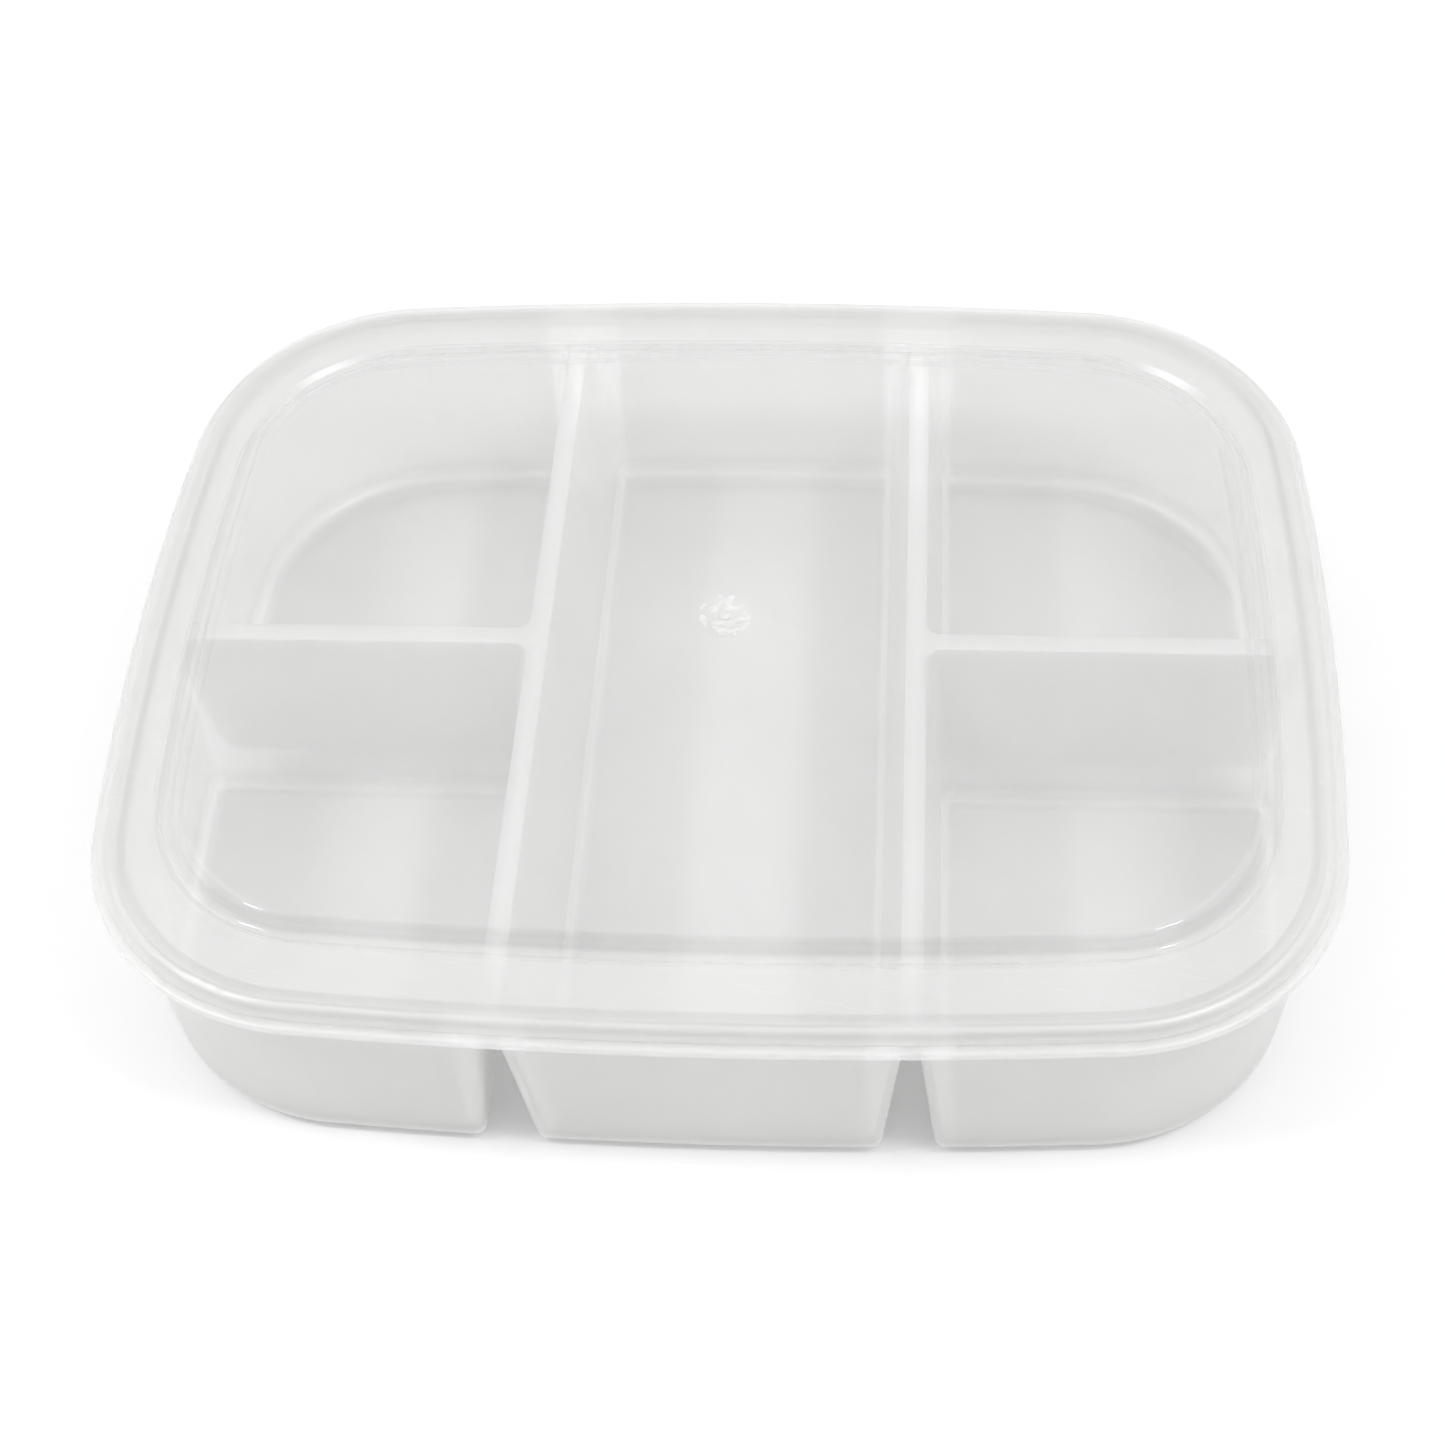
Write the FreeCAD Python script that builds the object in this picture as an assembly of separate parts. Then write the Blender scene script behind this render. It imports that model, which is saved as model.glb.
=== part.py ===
"""A shallow five-pocket soap mould with a lift-off lid, moulded in translucent polypropylene.

Two pieces: the tub, whose pockets are parted by hollow ribs that are open underneath, and the lid,
a flat rim round a raised panel. Millimetres, +Z up, origin under the middle of the tub's floor,
+X along the long side.
"""
import FreeCAD, Part
import math
import os

from FreeCAD import Vector

# --- outline of the widest edge, the tub's flange: eight tangent arcs ---
half_length = 105.0
half_width = 86.0
long_side_radius = 950.0      # the long sides bow outwards very slightly
short_side_radius = 590.0
corner_radius = 41.0

# --- heights ---
floor_thickness = 1.2
rib_top_z = 39.1
rim_top_z = 42.4              # top edge of the tub, where the lid rests
flange_thickness = 1.6
flange_top_z = 40.4

# --- tub wall, as distances inwards from the widest edge ---
wall_thickness = 1.2
wall_inset_top = 3.2
wall_inset_bottom = 6.1
foot_radius = 3.6             # round under the outer bottom edge
rim_edge_radius = 0.6
pocket_radius = 2.6           # along the pocket floors and in the corners beside the ribs
flange_edge_radius = 0.7

# --- hollow ribs ---
rib_wall = 1.1
rib_half_foot = 5.5           # half the rib's width where it meets the pocket floor
rib_half_top = 1.8
long_rib_x = 33.2             # the two ribs that run front to back
notch_edge_radius = 2.0       # round edges where the space under a rib opens through the wall

# --- lid ---
lid_thickness = 1.2
skirt_inset = 1.6
skirt_drop = 2.8              # from the top of the rim to the skirt's lower edge
shoulder_radius = 2.2
skirt_root_radius = 0.4
plug_inset = 4.9
plug_thickness = 1.1
plug_drop = 2.3               # below the underside of the lid's rim
plug_draft = 0.3

# --- groove and raised panel of the lid ---
groove_half_length = 93.9
groove_half_width = 71.5
groove_corner_radius = 29.4
groove_depth = 0.9
panel_rise = 2.0
groove_floor_start = 1.1      # distances inwards from the groove's outer edge
groove_floor_end = 2.1
panel_edge = 3.6
groove_edge_radius = 0.4
step_foot_radius = 1.3
panel_edge_radius = 1.3

# --- mould gate mark in the middle of the lid ---
gate_radius = 4.4
gate_depth = 0.7
gate_nub_radius = 1.0
gate_nub_height = 0.5

lid_rim_z = rim_top_z + lid_thickness
panel_top_z = lid_rim_z + panel_rise

# --- how the shapes are put together ---
core_inset = 20.0             # where the ring-shaped parts of a block meet its plain middle
join_margin = 2.0             # how far a ring reaches past its detail to meet its neighbour
cut_margin = 1.0              # how far a cutting shape reaches past what it cuts
same_point = 1e-6             # points closer than this are one point
same_height = 0.05            # edges closer than this are at one height
upright_share = 0.9           # an upright corner's edge is longer than this share of the pocket's height
least_lean = 0.01             # a rib's leaning side has a normal that rises between these two
most_lean = 0.5


class Outline:
    """Eight tangent arcs round the origin: two long sides, two short sides and four corners."""

    def __init__(self, half_x, half_y, long_radius, short_radius, corner):
        long_centre = (0.0, half_y - long_radius)
        short_centre = (half_x - short_radius, 0.0)
        reach_long = long_radius - corner
        reach_short = short_radius - corner
        corner_centre = self.meeting_point(long_centre, reach_long, short_centre, reach_short)
        long_turn = math.atan2(corner_centre[1] - long_centre[1], corner_centre[0] - long_centre[0])
        short_turn = math.atan2(corner_centre[1] - short_centre[1],
                                corner_centre[0] - short_centre[0])
        self.arcs = []
        for sign_x, sign_y in ((1, 1), (-1, 1), (-1, -1), (1, -1)):
            start, end = short_turn, long_turn
            if sign_x < 0:
                start, end = math.pi - end, math.pi - start
            if sign_y < 0:
                start, end = -end, -start
            centre = (sign_x * corner_centre[0], sign_y * corner_centre[1])
            self.arcs.append((centre, corner, start, end))
        half_long = math.pi / 2 - long_turn
        for sign in (1, -1):
            self.arcs.append(((0.0, sign * long_centre[1]), long_radius,
                              sign * math.pi / 2 - half_long, sign * math.pi / 2 + half_long))
        for sign, middle in ((1, 0.0), (-1, math.pi)):
            self.arcs.append(((sign * short_centre[0], 0.0), short_radius,
                              middle - short_turn, middle + short_turn))

    @staticmethod
    def meeting_point(first, first_reach, second, second_reach):
        """The point of the first quadrant at the given reach from each of two centres."""
        dx, dy = second[0] - first[0], second[1] - first[1]
        span = math.hypot(dx, dy)
        along = (first_reach ** 2 - second_reach ** 2 + span ** 2) / (2 * span)
        across = math.sqrt(first_reach ** 2 - along ** 2)
        base = (first[0] + along * dx / span, first[1] + along * dy / span)
        options = [(base[0] - side * across * dy / span, base[1] + side * across * dx / span)
                   for side in (1, -1)]
        return max(options, key=lambda point: point[0] + point[1])

    def wire(self, inset, z):
        """The closed outline, moved inwards by inset, at height z."""
        edges = []
        for (cx, cy), radius, start, end in self.arcs:
            circle = Part.Circle(Vector(cx, cy, z), Vector(0, 0, 1), radius - inset)
            edges.append(Part.Arc(circle, start, end).toShape())
        return Part.Wire(Part.__sortEdges__(edges))

    def plate(self, inset, low_z, high_z):
        """A flat plate with this outline."""
        return Part.Face(self.wire(inset, low_z)).extrude(Vector(0, 0, high_z - low_z))

    def ring(self, profile):
        """Solids made by carrying a closed profile of (inset, z) edges round the outline."""
        solids = []
        for (cx, cy), radius, start, end in self.arcs:
            face = Part.Face(profile(radius))
            face.rotate(Vector(0, 0, 0), Vector(0, 0, 1), math.degrees(start))
            face.translate(Vector(cx, cy, 0))
            solids.append(face.revolve(Vector(cx, cy, 0), Vector(0, 0, 1),
                                       math.degrees(end - start)))
        return solids


def profile_of(corners):
    """A function that draws the closed profile at a given arc radius.

    Each corner is (inset, z) or (inset, z, radius), where radius rounds that corner.
    """
    def draw(arc_radius):
        count = len(corners)
        points = [Vector(arc_radius - c[0], 0, c[1]) for c in corners]
        edges = []
        cursor = None
        first = None
        for i, corner in enumerate(corners):
            here = points[i]
            if len(corner) == 3 and corner[2] > 0:
                before = (points[i - 1] - here).normalize()
                after = (points[(i + 1) % count] - here).normalize()
                half = before.getAngle(after) / 2
                reach = corner[2] / math.tan(half)
                enter, leave = here + before * reach, here + after * reach
                middle_way = (before + after).normalize()
                centre = here + middle_way * (corner[2] / math.sin(half))
                top = centre - middle_way * corner[2]
                if cursor is not None and cursor.distanceToPoint(enter) > same_point:
                    edges.append(Part.LineSegment(cursor, enter).toShape())
                edges.append(Part.Arc(enter, top, leave).toShape())
                first = first or enter
                cursor = leave
            else:
                if cursor is not None:
                    edges.append(Part.LineSegment(cursor, here).toShape())
                first = first or here
                cursor = here
        if cursor.distanceToPoint(first) > same_point:
            edges.append(Part.LineSegment(cursor, first).toShape())
        return Part.Wire(edges)
    return draw


def joined(solids):
    """One solid from pieces that meet face to face."""
    shape = solids[0].fuse(solids[1:]).removeSplitter()
    if len(shape.Solids) != 1:
        raise ValueError("the pieces do not meet: %d solids" % len(shape.Solids))
    return shape.Solids[0]


widest = Outline(half_length, half_width, long_side_radius, short_side_radius, corner_radius)
groove = Outline(groove_half_length, groove_half_width, long_side_radius, short_side_radius,
                 groove_corner_radius)


def drafted_block(bottom_inset, top_inset, low_z, high_z, bottom_radius=0.0, top_radius=0.0):
    """A solid block with drafted sides, its outer edges rounded where a radius is given."""
    profile = profile_of([(core_inset, low_z), (core_inset, high_z),
                          (top_inset, high_z, top_radius), (bottom_inset, low_z, bottom_radius)])
    return joined(widest.ring(profile) + [widest.plate(core_inset, low_z, high_z)])


def wedge(half_foot, half_top, low_z, high_z, start, end):
    """A rib-shaped prism along Y from start to end, centred on x = 0."""
    corners = [Vector(-half_foot, start, low_z), Vector(half_foot, start, low_z),
               Vector(half_top, start, high_z), Vector(-half_top, start, high_z)]
    face = Part.Face(Part.makePolygon(corners + corners[:1]))
    return face.extrude(Vector(0, end - start, 0))


def rib_set(half_foot, half_top, low_z, high_z):
    """Prisms for both long ribs and for the cross ribs that run out to the short sides."""
    beyond = half_length + cut_margin
    prisms = []
    for side in (1, -1):
        long_rib = wedge(half_foot, half_top, low_z, high_z, -beyond, beyond)
        long_rib.translate(Vector(side * long_rib_x, 0, 0))
        prisms.append(long_rib)
        cross_rib = wedge(half_foot, half_top, low_z, high_z, -beyond, -long_rib_x)
        cross_rib.rotate(Vector(0, 0, 0), Vector(0, 0, 1), side * 90)
        prisms.append(cross_rib)
    return prisms


def touches_flat_side(shape, edge):
    """Whether one of the faces beside the edge is a rib's flat side."""
    faces = shape.ancestorsOfType(edge, Part.Face)
    return any(isinstance(face.Surface, Part.Plane) for face in faces)


def rounded_pocket(pocket):
    """A pocket's hollow, round along its floor and in the upright corners beside the ribs."""
    height = rib_top_z - floor_thickness
    upright = [edge for edge in pocket.Edges
               if edge.BoundBox.ZLength > upright_share * height and touches_flat_side(pocket, edge)]
    around_floor = [edge for edge in pocket.Edges
                    if edge.BoundBox.ZMax < pocket.BoundBox.ZMin + same_height]
    return pocket.makeFillet(pocket_radius, upright + around_floor).Solids[0]


def inner_inset(z):
    """How far the wall's inner face lies inside the widest edge at height z."""
    slope = (wall_inset_bottom - wall_inset_top) / rim_top_z
    return wall_inset_bottom + wall_thickness - slope * z


def hollow():
    """The space inside the tub: five pockets that join above the ribs."""
    lower = drafted_block(inner_inset(floor_thickness), inner_inset(rib_top_z),
                          floor_thickness, rib_top_z)
    above_rim = rim_top_z + cut_margin
    upper = drafted_block(inner_inset(rib_top_z), inner_inset(above_rim), rib_top_z, above_rim)
    pockets = lower.cut(rib_set(rib_half_foot, rib_half_top, floor_thickness, rib_top_z)).Solids
    return joined([upper] + [rounded_pocket(pocket) for pocket in pockets])


def rib_undersides():
    """The wedges of open space under the ribs, which run out through the walls as notches."""
    lean = (rib_half_foot - rib_half_top) / (rib_top_z - floor_thickness)
    side_step = rib_wall * math.hypot(1.0, lean)
    below = -cut_margin
    top = rib_top_z - rib_wall
    half_foot = rib_half_foot + lean * (floor_thickness - below) - side_step
    half_top = rib_half_top + lean * rib_wall - side_step
    return rib_set(half_foot, half_top, below, top)


def beside_rib_space(shape, edge):
    """Whether exactly one of the faces beside the edge is a leaning side of a rib's underside."""
    leaning = [isinstance(face.Surface, Part.Plane)
               and least_lean < abs(face.Surface.Axis.z) < most_lean
               for face in shape.ancestorsOfType(edge, Part.Face)]
    return leaning.count(True) == 1


def notched_block():
    """The tub's outer shape: a rounded block, opened by the spaces under the ribs."""
    block = drafted_block(wall_inset_bottom, wall_inset_top, 0.0, rim_top_z,
                          foot_radius, rim_edge_radius)
    block = block.cut(rib_undersides()).Solids[0]
    top_of_spaces = rib_top_z - rib_wall
    edges = [edge for edge in block.Edges
             if edge.BoundBox.ZMin < top_of_spaces - same_height and beside_rib_space(block, edge)]
    return block.makeFillet(notch_edge_radius, edges)


def tub():
    """Five pockets in one moulding, with a flange under the rim for the lid to sit over."""
    under_flange = flange_top_z - flange_thickness
    flange = widest.ring(profile_of([
        (wall_inset_top + wall_thickness, under_flange),
        (wall_inset_top + wall_thickness, flange_top_z),
        (0.0, flange_top_z, flange_edge_radius),
        (0.0, under_flange, flange_edge_radius)]))
    return notched_block().fuse(flange).cut(hollow()).removeSplitter()


def lid():
    """A flat rim with a short skirt and a plug ring, round a groove and a raised panel."""
    top = lid_rim_z
    under = top - lid_thickness
    meet = plug_inset + plug_thickness + join_margin
    skirt_inner = skirt_inset + lid_thickness
    rim = widest.ring(profile_of([
        (meet, under), (meet, top), (skirt_inset, top, shoulder_radius),
        (skirt_inset, top - skirt_drop), (skirt_inner, top - skirt_drop),
        (skirt_inner, under, skirt_root_radius)]))
    plug = widest.ring(profile_of([
        (plug_inset, under), (plug_inset + plug_draft, under - plug_drop),
        (plug_inset + plug_thickness, under - plug_drop),
        (plug_inset + plug_thickness + plug_draft, under)]))
    outside_groove = -join_margin
    inside_panel = panel_edge + join_margin
    web = widest.plate(meet, under, top).cut(groove.plate(outside_groove, under, top))
    step = groove.ring(profile_of([
        (outside_groove, under), (outside_groove, top), (0.0, top, groove_edge_radius),
        (groove_floor_start, top - groove_depth),
        (groove_floor_end, top - groove_depth, step_foot_radius),
        (panel_edge, panel_top_z, panel_edge_radius), (inside_panel, panel_top_z),
        (inside_panel, panel_top_z - lid_thickness),
        (panel_edge + lid_thickness, panel_top_z - lid_thickness),
        (groove_floor_end + lid_thickness, under - groove_depth),
        (groove_floor_start - lid_thickness, under - groove_depth),
        (-lid_thickness, under)]))
    panel = groove.plate(inside_panel, panel_top_z - lid_thickness, panel_top_z)
    shape = joined(rim + plug + [web] + step + [panel])
    return gate_mark(shape)


def gate_mark(shape):
    """A shallow round dimple with a small nub in it, bulging under the lid."""
    ball_radius = (gate_radius ** 2 + gate_depth ** 2) / (2 * gate_depth)
    centre_z = panel_top_z - gate_depth + ball_radius
    dimple = Part.makeSphere(ball_radius, Vector(0, 0, centre_z))
    bulge = Part.makeSphere(ball_radius + lid_thickness, Vector(0, 0, centre_z))
    bulge = bulge.common(Part.makeCylinder(2 * gate_radius, lid_thickness + gate_depth,
                                           Vector(0, 0, panel_top_z - lid_thickness - gate_depth)))
    nub = Part.makeCylinder(gate_nub_radius, lid_thickness + gate_nub_height,
                            Vector(0, 0, panel_top_z - gate_depth - lid_thickness))
    return shape.fuse(bulge).cut(dimple).fuse(nub).removeSplitter()


os.makedirs("parts", exist_ok=True)
for name, build in (("tub", tub), ("lid", lid)):
    made = build()
    if len(made.Solids) != 1:
        raise ValueError("%s has %d solids" % (name, len(made.Solids)))
    made.Solids[0].exportStep("parts/" + name + ".step")
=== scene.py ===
"""Looks for the five-pocket soap mould: translucent polypropylene tub and lid on a pale floor."""
import math

import bpy
from mathutils import Matrix, Vector


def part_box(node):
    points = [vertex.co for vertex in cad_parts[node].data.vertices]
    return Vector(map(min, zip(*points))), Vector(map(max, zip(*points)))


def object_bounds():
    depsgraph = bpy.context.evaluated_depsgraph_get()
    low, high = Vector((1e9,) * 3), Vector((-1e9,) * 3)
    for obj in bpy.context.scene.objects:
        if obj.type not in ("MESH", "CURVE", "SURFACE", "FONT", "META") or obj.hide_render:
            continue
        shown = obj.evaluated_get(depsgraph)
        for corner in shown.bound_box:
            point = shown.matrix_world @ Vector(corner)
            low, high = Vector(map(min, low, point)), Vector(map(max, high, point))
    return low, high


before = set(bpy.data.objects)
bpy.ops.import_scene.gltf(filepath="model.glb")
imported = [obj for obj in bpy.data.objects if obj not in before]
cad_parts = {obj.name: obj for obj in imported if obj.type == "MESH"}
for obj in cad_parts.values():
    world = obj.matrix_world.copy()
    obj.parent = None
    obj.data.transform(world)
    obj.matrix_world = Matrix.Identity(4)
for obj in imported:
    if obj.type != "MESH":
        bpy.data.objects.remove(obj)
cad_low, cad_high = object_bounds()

MM = 0.001

# --- camera, which looks at a point beside the middle of the lid's rim ---
FOCAL_LENGTH_MM = 63.2
SENSOR_MM = 36.0
CAMERA_AZIMUTH = 6.24          # degrees right of straight in front
CAMERA_ELEVATION = 50.54
CAMERA_ROLL = -3.81
CAMERA_DISTANCE = 0.4272
CAMERA_NEAR_LIMIT = 0.01
LOOK_OFFSET = (0.0008, -0.0227)
PANEL_RISE = 2.0 * MM          # how far the lid's panel stands above its rim

# --- light: the room's brightness depends on the direction, written as a vector of length 1 ---
WORLD_SIDES = 0.84             # to the left and right
WORLD_FRONT = 0.18             # straight in front and behind
WORLD_DEPTH = (0.2, 0.95)      # size of the direction's Y where it goes from the first to the second
WORLD_TOP = 0.46               # added overhead
WORLD_HEIGHT = (0.25, 0.85)    # the direction's Z where that is added, from none of it to all
SOFTBOX_LEFT = (-73.0, 55.0)   # azimuth and elevation, which put glints in the groove's corners
SOFTBOX_RIGHT = (65.0, 60.0)
SOFTBOX_DISTANCE = 1.2
SOFTBOX_SIZE = (0.22, 0.10)
SOFTBOX_POWER = 3.3
FLOOR_SHADE = (0.91, 0.91, 0.91, 1.0)
FLOOR_ROUGHNESS = 0.9
FLOOR_REACH = 3.0
FLOOR_GAP = 0.2 * MM           # keeps the tub's underside clear of the floor

# --- the lid's groove: its outer edge is a rounded rectangle whose sides bow outwards ---
GROOVE_HALF = (93.9 * MM, 71.5 * MM)
GROOVE_CORNER = 29.4 * MM
LONG_SIDE_RADIUS = 950 * MM
SHORT_SIDE_RADIUS = 590 * MM
GROOVE_WIDTH = 3.6 * MM        # up to the panel's edge
GATE_RADIUS = 4.4 * MM

# --- plastic: shades, and the opacity of a surface that faces the viewer ---
PLASTIC_LIGHT = (0.94, 0.94, 0.934)
# The tub's colour comes near TUB_DARK only in the painted shade of its outer wall and pocket floors.
TUB_DARK = (0.76, 0.76, 0.754)
LID_DARK = (0.78, 0.78, 0.774)
TUB_SHADE = 0.75               # from 0 for the dark shade to 1 for the light one
LID_SHADE = 0.6
TUB_OPACITY = 0.29
LID_OPACITY = 0.08
TUB_ROUGHNESS = 0.31
LID_ROUGHNESS = 0.05
TUB_IOR = 2.0                  # above polypropylene's, because transparency weakens the highlights
LID_IOR = 2.2
GLOW_REACH = 2.5 * MM          # how far light spreads inside the tub's plastic

# --- regions of the plastic: a pair says where each one starts, and where it is full ---
LONG_RIB_X = 33.2 * MM         # the two ribs that run front to back over a hollow space
# BESIDE_RIB, TUB_WALL and POCKET_FLOOR place the tub's painted shade on its outer wall and pocket
# floors, and leave it out near a long rib as painted light in the hollow under it.
BESIDE_RIB = (6.0 * MM, 7.5 * MM)      # distance from the middle of a long rib
TUB_WALL = (2.5 * MM, 5.0 * MM)        # distance outwards from the groove
TUB_RIM = (5.5 * MM, 3.5 * MM)         # depth below the lid's rim
FOOT_LOWER_END = (1.3 * MM, 2.0 * MM)  # height, as in the next three
FOOT_UPPER_END = (5.0 * MM, 2.4 * MM)
POCKET_FLOOR = (2.2 * MM, 1.3 * MM)
UNDERSIDE = (1.0 * MM, 0.2 * MM)
PANEL_EDGE_BLEND = 0.3 * MM            # to each side of the panel's edge
LID_RIM = (-0.2 * MM, 1.0 * MM)        # distance outwards from the groove

# --- round the gate's middle: the distances where each region starts to fade, and has gone ---
GATE_EDGE = (GATE_RADIUS - 0.2 * MM, GATE_RADIUS + 0.6 * MM)
GATE_HALO = (4.0 * MM, 20.0 * MM)

# --- uneven patches: a noise's scale is higher where its patches are smaller ---
CLOUD_SCALE = 38.0
TUB_WAVE_SCALE = 24.0
TUB_FLOW_SCALE = (14.0, 70.0, 40.0)
SCUFF_SCALE = 260.0
SCUFF_RANGE = (0.45, 0.6)      # the noise's values that give no scuff and a full one
LID_WAVE_SCALE = 20.0
FAN_SCALE = (9.0, 16.0)        # the lid's flow lines: around the gate, and outwards from it
SPECK_SCALE = 420.0
SPECK_RANGE = (0.5, 0.62)
RIM_TEXTURE_SCALE = 1100.0
GATE_RELIEF = 6.0              # the height of the gate's specks, where the rim's fine texture has 1
SCRATCH_ANGLE = 12.0
SCRATCH_SPACING = 5.0 * MM
SCRATCH_LENGTH = 60.0 * MM
SCRATCH_WIDTH = 0.006          # as a share of the noise's range


def look_frame(azimuth, elevation, roll=0.0):
    """Right, up and back directions of a camera at that azimuth and elevation, in degrees."""
    azimuth, elevation, roll = map(math.radians, (azimuth, elevation, roll))
    back = Vector((math.sin(azimuth) * math.cos(elevation),
                   -math.cos(azimuth) * math.cos(elevation), math.sin(elevation)))
    right = Vector((math.cos(azimuth), math.sin(azimuth), 0.0))
    up = back.cross(right)
    return (right * math.cos(roll) + up * math.sin(roll),
            up * math.cos(roll) - right * math.sin(roll), back)


def place(obj, azimuth, elevation, distance, target, roll=0.0):
    """Puts a camera or light at that distance from the target, facing it."""
    right, up, back = look_frame(azimuth, elevation, roll)
    turn = Matrix((right, up, back)).transposed().to_4x4()
    obj.matrix_world = Matrix.Translation(target + back * distance) @ turn


def add_camera(target):
    data = bpy.data.cameras.new("camera")
    data.lens = FOCAL_LENGTH_MM
    data.sensor_width = SENSOR_MM
    data.clip_start = CAMERA_NEAR_LIMIT
    camera = bpy.data.objects.new("camera", data)
    bpy.context.scene.collection.objects.link(camera)
    place(camera, CAMERA_AZIMUTH, CAMERA_ELEVATION, CAMERA_DISTANCE, target, CAMERA_ROLL)
    bpy.context.scene.camera = camera


def add_softbox(name, direction, target):
    data = bpy.data.lights.new(name, "AREA")
    data.shape = "RECTANGLE"
    data.size, data.size_y = SOFTBOX_SIZE
    data.energy = SOFTBOX_POWER
    light = bpy.data.objects.new(name, data)
    bpy.context.scene.collection.objects.link(light)
    place(light, *direction, SOFTBOX_DISTANCE, target)


def add_world():
    """A white room, brightest overhead, bright at both sides and dim in front and behind."""
    world = bpy.data.worlds.new("studio")
    world.use_nodes = True
    nodes, links = world.node_tree.nodes, world.node_tree.links
    split = nodes.new("ShaderNodeSeparateXYZ")
    links.new(nodes.new("ShaderNodeTexCoord").outputs["Generated"], split.inputs[0])
    depth = nodes.new("ShaderNodeMath")
    depth.operation = "ABSOLUTE"
    links.new(split.outputs["Y"], depth.inputs[0])
    parts = []
    for source, settings in ((depth.outputs[0], (*WORLD_DEPTH, WORLD_SIDES, WORLD_FRONT)),
                             (split.outputs["Z"], (*WORLD_HEIGHT, 0.0, WORLD_TOP))):
        level = nodes.new("ShaderNodeMapRange")
        level.interpolation_type = "SMOOTHSTEP"
        links.new(source, level.inputs["Value"])
        for name, number in zip(("From Min", "From Max", "To Min", "To Max"), settings):
            level.inputs[name].default_value = number
        parts.append(level.outputs["Result"])
    both = nodes.new("ShaderNodeMath")
    links.new(parts[0], both.inputs[0])
    links.new(parts[1], both.inputs[1])
    links.new(both.outputs[0], nodes["Background"].inputs["Strength"])
    nodes["Background"].inputs["Color"].default_value = (1.0, 1.0, 1.0, 1.0)
    bpy.context.scene.world = world


def add_floor():
    corners = [(-FLOOR_REACH, -FLOOR_REACH, 0), (FLOOR_REACH, -FLOOR_REACH, 0),
               (FLOOR_REACH, FLOOR_REACH, 0), (-FLOOR_REACH, FLOOR_REACH, 0)]
    mesh = bpy.data.meshes.new("floor")
    mesh.from_pydata(corners, [], [(0, 1, 2, 3)])
    floor = bpy.data.objects.new("floor", mesh)
    bpy.context.scene.collection.objects.link(floor)
    floor.location.z = cad_low[2] - FLOOR_GAP
    material = bpy.data.materials.new("floor_white")
    material.use_nodes = True
    shader = material.node_tree.nodes["Principled BSDF"]
    shader.inputs["Base Color"].default_value = FLOOR_SHADE
    shader.inputs["Roughness"].default_value = FLOOR_ROUGHNESS
    mesh.materials.append(material)


# --- material nodes ---

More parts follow.
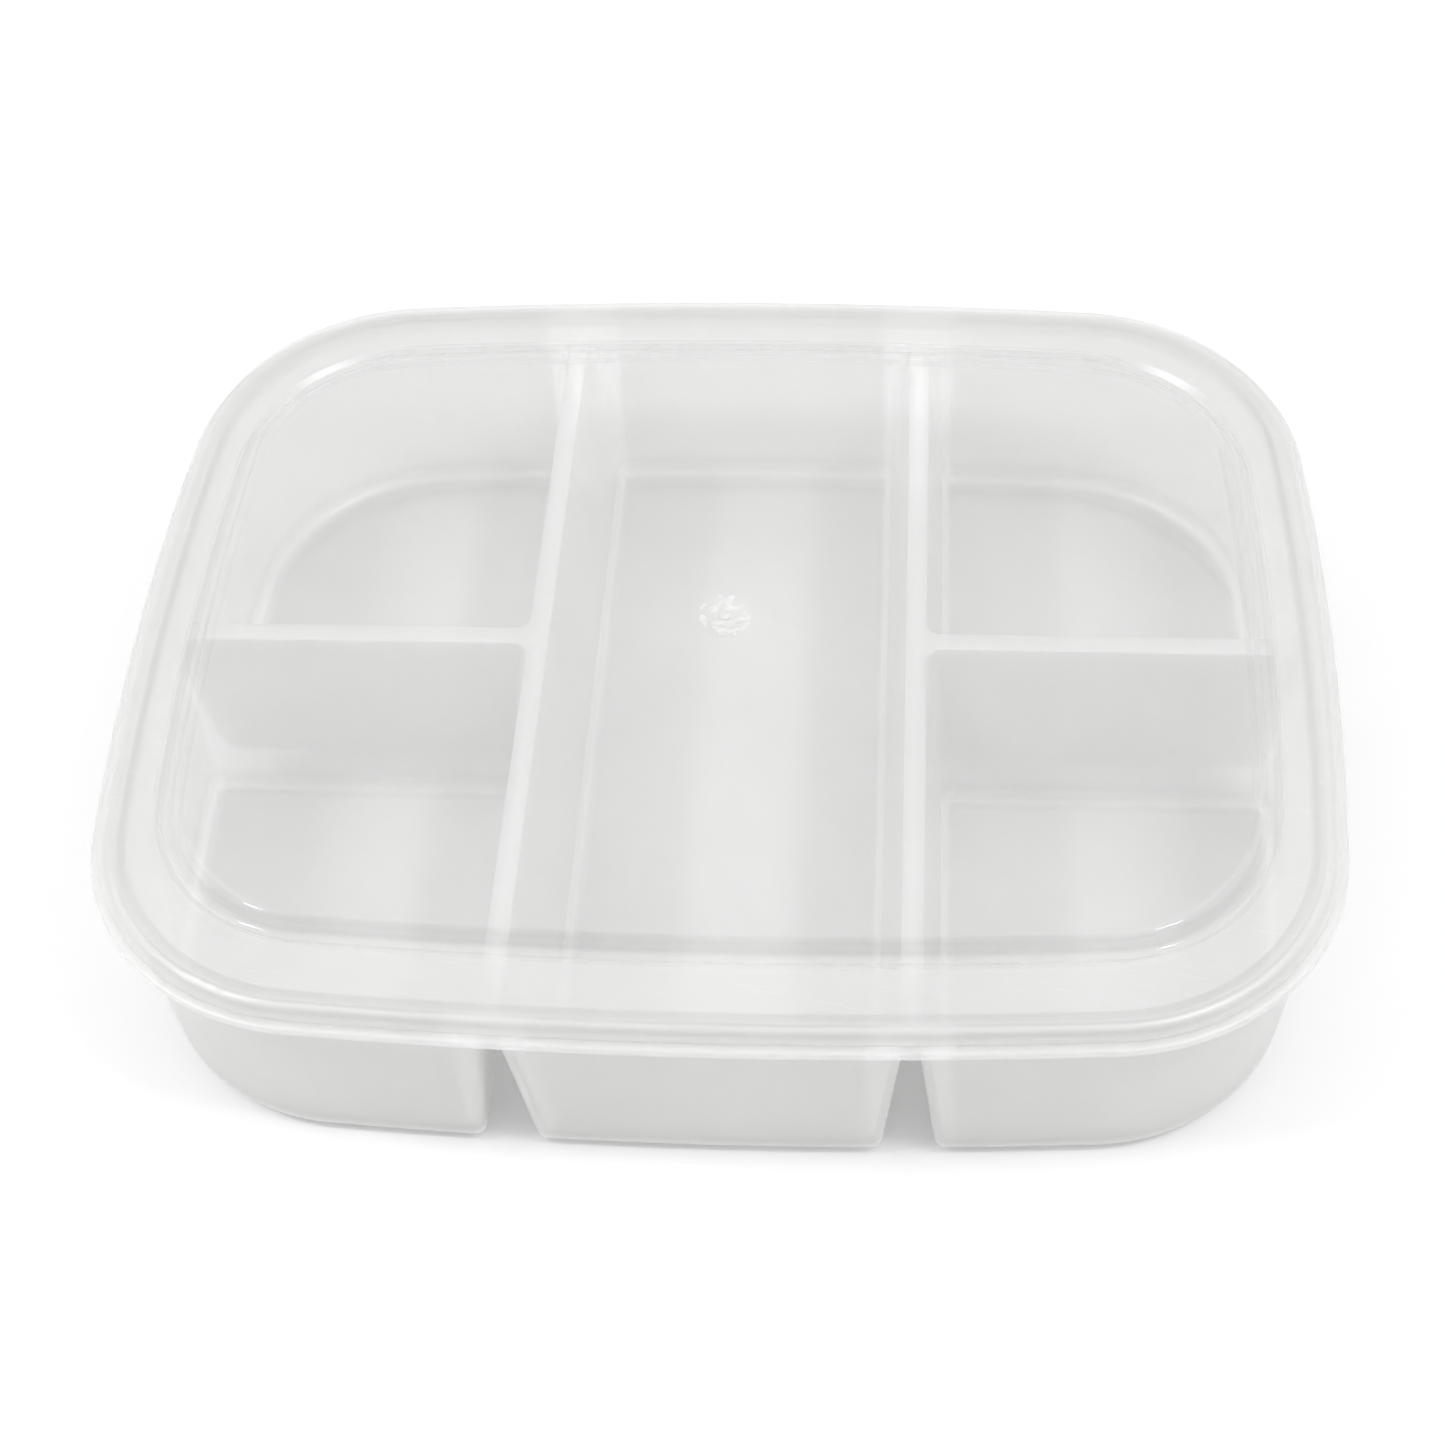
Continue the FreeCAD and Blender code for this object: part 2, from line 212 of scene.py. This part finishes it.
class Plastic:
    """A translucent plastic: one Principled shader, with small functions that build its inputs."""

    def __init__(self, name):
        self.material = bpy.data.materials.new(name)
        self.material.use_nodes = True
        self.tree = self.material.node_tree
        self.shader = self.tree.nodes["Principled BSDF"]
        self.place = self.add("ShaderNodeTexCoord").outputs["Object"]

    def add(self, kind, **settings):
        node = self.tree.nodes.new(kind)
        for name, value in settings.items():
            setattr(node, name, value)
        return node

    def feed(self, socket, value):
        """Links a socket to another node's output, or sets its constant."""
        if isinstance(value, bpy.types.NodeSocket):
            self.tree.links.new(value, socket)
        else:
            socket.default_value = value

    def set(self, name, value):
        self.feed(self.shader.inputs[name], value)

    def math(self, operation, *values, clamp=False):
        node = self.add("ShaderNodeMath", operation=operation, use_clamp=clamp)
        for socket, value in zip(node.inputs, values):
            self.feed(socket, value)
        return node.outputs[0]

    def square(self, value):
        return self.math("MULTIPLY", value, value)

    def total(self, *values):
        result = values[0]
        for value in values[1:]:
            result = self.math("ADD", result, value)
        return result

    def length(self, x, y):
        return self.math("SQRT", self.total(self.square(x), self.square(y)))

    def weighed(self, base, *shares):
        """A number from 0 to 1: the base plus each (value, weight) pair's product."""
        parts = [self.math("MULTIPLY", value, weight) for value, weight in shares]
        return self.math("ADD", self.total(*parts), base, clamp=True)

    def combined(self, x, y):
        node = self.add("ShaderNodeCombineXYZ")
        self.feed(node.inputs["X"], x)
        self.feed(node.inputs["Y"], y)
        return node.outputs[0]

    def part_of(self, value, low, high, out_low=0.0, out_high=1.0):
        """The value's smooth place between low and high, as a number from out_low to out_high."""
        node = self.add("ShaderNodeMapRange", interpolation_type="SMOOTHSTEP")
        for socket, number in zip(node.inputs, (value, low, high, out_low, out_high)):
            self.feed(socket, number)
        return node.outputs["Result"]

    def stretched(self, scale, where=None):
        node = self.add("ShaderNodeMapping")
        self.feed(node.inputs["Vector"], where or self.place)
        node.inputs["Scale"].default_value = scale
        return node.outputs["Vector"]

    def noise(self, scale, detail=2.0, roughness=0.5, where=None):
        node = self.add("ShaderNodeTexNoise")
        self.feed(node.inputs["Vector"], where or self.place)
        node.inputs["Scale"].default_value = scale
        node.inputs["Detail"].default_value = detail
        node.inputs["Roughness"].default_value = roughness
        return node.outputs["Fac"]

    def bump(self, height, strength, distance, after=None):
        node = self.add("ShaderNodeBump")
        node.inputs["Strength"].default_value = strength
        node.inputs["Distance"].default_value = distance
        self.feed(node.inputs["Height"], height)
        if after:
            self.feed(node.inputs["Normal"], after)
        return node.outputs["Normal"]

    def coordinate(self, name):
        if not hasattr(self, "split"):
            self.split = self.add("ShaderNodeSeparateXYZ")
            self.feed(self.split.inputs[0], self.place)
        return self.split.outputs[name]

    def edge_on(self):
        """0 where the surface faces the viewer, 1 where it is seen edge-on."""
        node = self.add("ShaderNodeLayerWeight")
        node.inputs["Blend"].default_value = 0.5
        return node.outputs["Facing"]

    def tint(self, amount, dark, light):
        """A colour between two shades."""
        node = self.add("ShaderNodeMix", data_type="RGBA")
        self.feed(node.inputs["Factor"], amount)
        node.inputs["A"].default_value = (*dark, 1.0)
        node.inputs["B"].default_value = (*light, 1.0)
        return node.outputs["Result"]


def groove_distance(plastic):
    """Distance outwards from the groove's outer edge, negative over the lid's middle."""
    x = plastic.math("ABSOLUTE", plastic.coordinate("X"))
    y = plastic.math("ABSOLUTE", plastic.coordinate("Y"))
    bowed_x = plastic.total(x, plastic.math("DIVIDE", plastic.square(y), 2 * SHORT_SIDE_RADIUS))
    bowed_y = plastic.total(y, plastic.math("DIVIDE", plastic.square(x), 2 * LONG_SIDE_RADIUS))
    past_x = plastic.math("MAXIMUM", plastic.math("SUBTRACT", bowed_x,
                                                  GROOVE_HALF[0] - GROOVE_CORNER), 0.0)
    past_y = plastic.math("MAXIMUM", plastic.math("SUBTRACT", bowed_y,
                                                  GROOVE_HALF[1] - GROOVE_CORNER), 0.0)
    return plastic.math("SUBTRACT", plastic.length(past_x, past_y), GROOVE_CORNER)


def scratches(plastic):
    """Faint straight scratches across the lid: 1 on a scratch, 0 elsewhere."""
    turned = plastic.add("ShaderNodeVectorRotate", rotation_type="Z_AXIS")
    plastic.feed(turned.inputs["Vector"], plastic.place)
    turned.inputs["Angle"].default_value = math.radians(SCRATCH_ANGLE)
    along = plastic.stretched((1.0 / SCRATCH_LENGTH, 1.0 / SCRATCH_SPACING, 1.0 / SCRATCH_LENGTH),
                              turned.outputs[0])
    wave = plastic.noise(1.0, roughness=0.7, where=along)
    off_middle = plastic.math("ABSOLUTE", plastic.math("SUBTRACT", wave, 0.5))
    return plastic.part_of(off_middle, 0.0, SCRATCH_WIDTH, 1.0, 0.0)


def tub_plastic(rim_top):
    """Satin, milky polypropylene, denser in the wall, at the rim and at the pockets' feet.

    The outer wall and the pocket floors get painted shade, a darker base colour that stands in for
    the dimmer light they get; it is left out where they meet a long rib, which leaves the hollow
    space under the rib lighter as painted light.
    """
    plastic = Plastic("tub_polypropylene")
    height = plastic.coordinate("Z")
    cloud = plastic.noise(CLOUD_SCALE)
    flow = plastic.noise(1.0, detail=1.0, where=plastic.stretched(TUB_FLOW_SCALE))
    # Painted light: near a long rib's middle the painted shade of the wall and floors is left out, so
    # the hollow space under the rib looks lit.
    from_rib = plastic.math("SUBTRACT", plastic.math("ABSOLUTE", plastic.coordinate("X")), LONG_RIB_X)
    beside_rib = plastic.part_of(plastic.math("ABSOLUTE", from_rib), *BESIDE_RIB)
    # The outer wall's mask darkens the base colour as painted shade and also makes the plastic
    # denser.
    wall = plastic.math("MULTIPLY", plastic.part_of(groove_distance(plastic), *TUB_WALL), beside_rib)
    rim = plastic.part_of(height, rim_top - TUB_RIM[0], rim_top - TUB_RIM[1])
    foot = plastic.math("MULTIPLY", plastic.part_of(height, *FOOT_LOWER_END),
                        plastic.part_of(height, *FOOT_UPPER_END))
    scuff = plastic.math("MULTIPLY", plastic.part_of(height, *UNDERSIDE),
                         plastic.part_of(plastic.noise(SCUFF_SCALE), *SCUFF_RANGE))
    # The pocket floors' mask only darkens the base colour, as painted shade.
    floor = plastic.math("MULTIPLY", plastic.part_of(height, *POCKET_FLOOR), beside_rib)
    # Painted shade comes from the wall and floor masks; the cloud is the plastic's own uneven tone.
    shade = plastic.weighed(TUB_SHADE, (cloud, 0.25), (wall, -0.7), (floor, -0.6))
    plastic.set("Base Color", plastic.tint(shade, TUB_DARK, PLASTIC_LIGHT))
    plastic.set("Alpha", plastic.weighed(TUB_OPACITY, (plastic.edge_on(), 0.28), (cloud, 0.05),
                                         (flow, 0.03), (wall, 0.10), (rim, 0.03), (foot, 0.15),
                                         (scuff, 0.06)))
    plastic.set("Roughness", plastic.weighed(TUB_ROUGHNESS, (flow, 0.08), (scuff, 0.2)))
    plastic.set("IOR", TUB_IOR)
    plastic.set("Subsurface Weight", 1.0)
    plastic.set("Subsurface Radius", (1.0, 1.0, 1.0))
    plastic.set("Subsurface Scale", GLOW_REACH)
    plastic.set("Normal", plastic.bump(plastic.noise(TUB_WAVE_SCALE, detail=1.0),
                                       strength=0.25, distance=0.4 * MM))
    return plastic.material


def lid_plastic():
    """Clear, polished polypropylene inside the groove and a hazy, finely textured rim round it."""
    plastic = Plastic("lid_polypropylene")
    distance = groove_distance(plastic)
    groove = plastic.part_of(distance, -GROOVE_WIDTH - PANEL_EDGE_BLEND,
                             -GROOVE_WIDTH + PANEL_EDGE_BLEND)
    rim = plastic.part_of(distance, *LID_RIM)
    cloud = plastic.noise(CLOUD_SCALE)
    from_gate = plastic.length(plastic.coordinate("X"), plastic.coordinate("Y"))
    gate = plastic.part_of(from_gate, *GATE_EDGE, 1.0, 0.0)
    specks = plastic.math("MULTIPLY", gate,
                          plastic.part_of(plastic.noise(SPECK_SCALE), *SPECK_RANGE))
    halo = plastic.part_of(from_gate, *GATE_HALO, 1.0, 0.0)
    turn = plastic.math("ARCTAN2", plastic.coordinate("Y"), plastic.coordinate("X"))
    fan = plastic.combined(plastic.math("MULTIPLY", turn, FAN_SCALE[0]),
                           plastic.math("MULTIPLY", from_gate, FAN_SCALE[1]))
    flow = plastic.noise(1.0, detail=1.0, where=fan)
    scratch = scratches(plastic)
    shade = plastic.weighed(LID_SHADE, (cloud, 0.4), (rim, -0.6))
    plastic.set("Base Color", plastic.tint(shade, LID_DARK, PLASTIC_LIGHT))
    plastic.set("Alpha", plastic.weighed(LID_OPACITY, (plastic.edge_on(), 0.22), (groove, 0.05),
                                         (rim, 0.16), (cloud, 0.03), (flow, 0.03), (gate, 0.03),
                                         (specks, 0.2), (halo, 0.03), (scratch, 0.015)))
    plastic.set("Roughness", plastic.weighed(LID_ROUGHNESS, (rim, 0.27), (flow, 0.03),
                                             (scratch, 0.06)))
    plastic.set("IOR", LID_IOR)
    sink = plastic.bump(plastic.noise(LID_WAVE_SCALE, detail=1.0), strength=0.2, distance=0.5 * MM)
    texture = plastic.math("MULTIPLY", rim, plastic.noise(RIM_TEXTURE_SCALE, detail=0.0))
    rough_gate = plastic.math("MULTIPLY", specks, GATE_RELIEF)
    plastic.set("Normal", plastic.bump(plastic.total(texture, rough_gate),
                                       strength=0.05, distance=0.03 * MM, after=sink))
    return plastic.material


def dress(node, material):
    """Gives a node of the part that one material."""
    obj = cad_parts[node]
    obj.data.materials.clear()
    obj.data.materials.append(material)


rim_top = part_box("lid")[1].z - PANEL_RISE
target = Vector((LOOK_OFFSET[0], LOOK_OFFSET[1], rim_top))
add_camera(target)
add_softbox("softbox_left", SOFTBOX_LEFT, target)
add_softbox("softbox_right", SOFTBOX_RIGHT, target)
add_world()
add_floor()
dress("tub", tub_plastic(rim_top))
dress("lid", lid_plastic())

scene = bpy.context.scene
scene.view_settings.view_transform = "Standard"
scene.cycles.transparent_max_bounces = 32
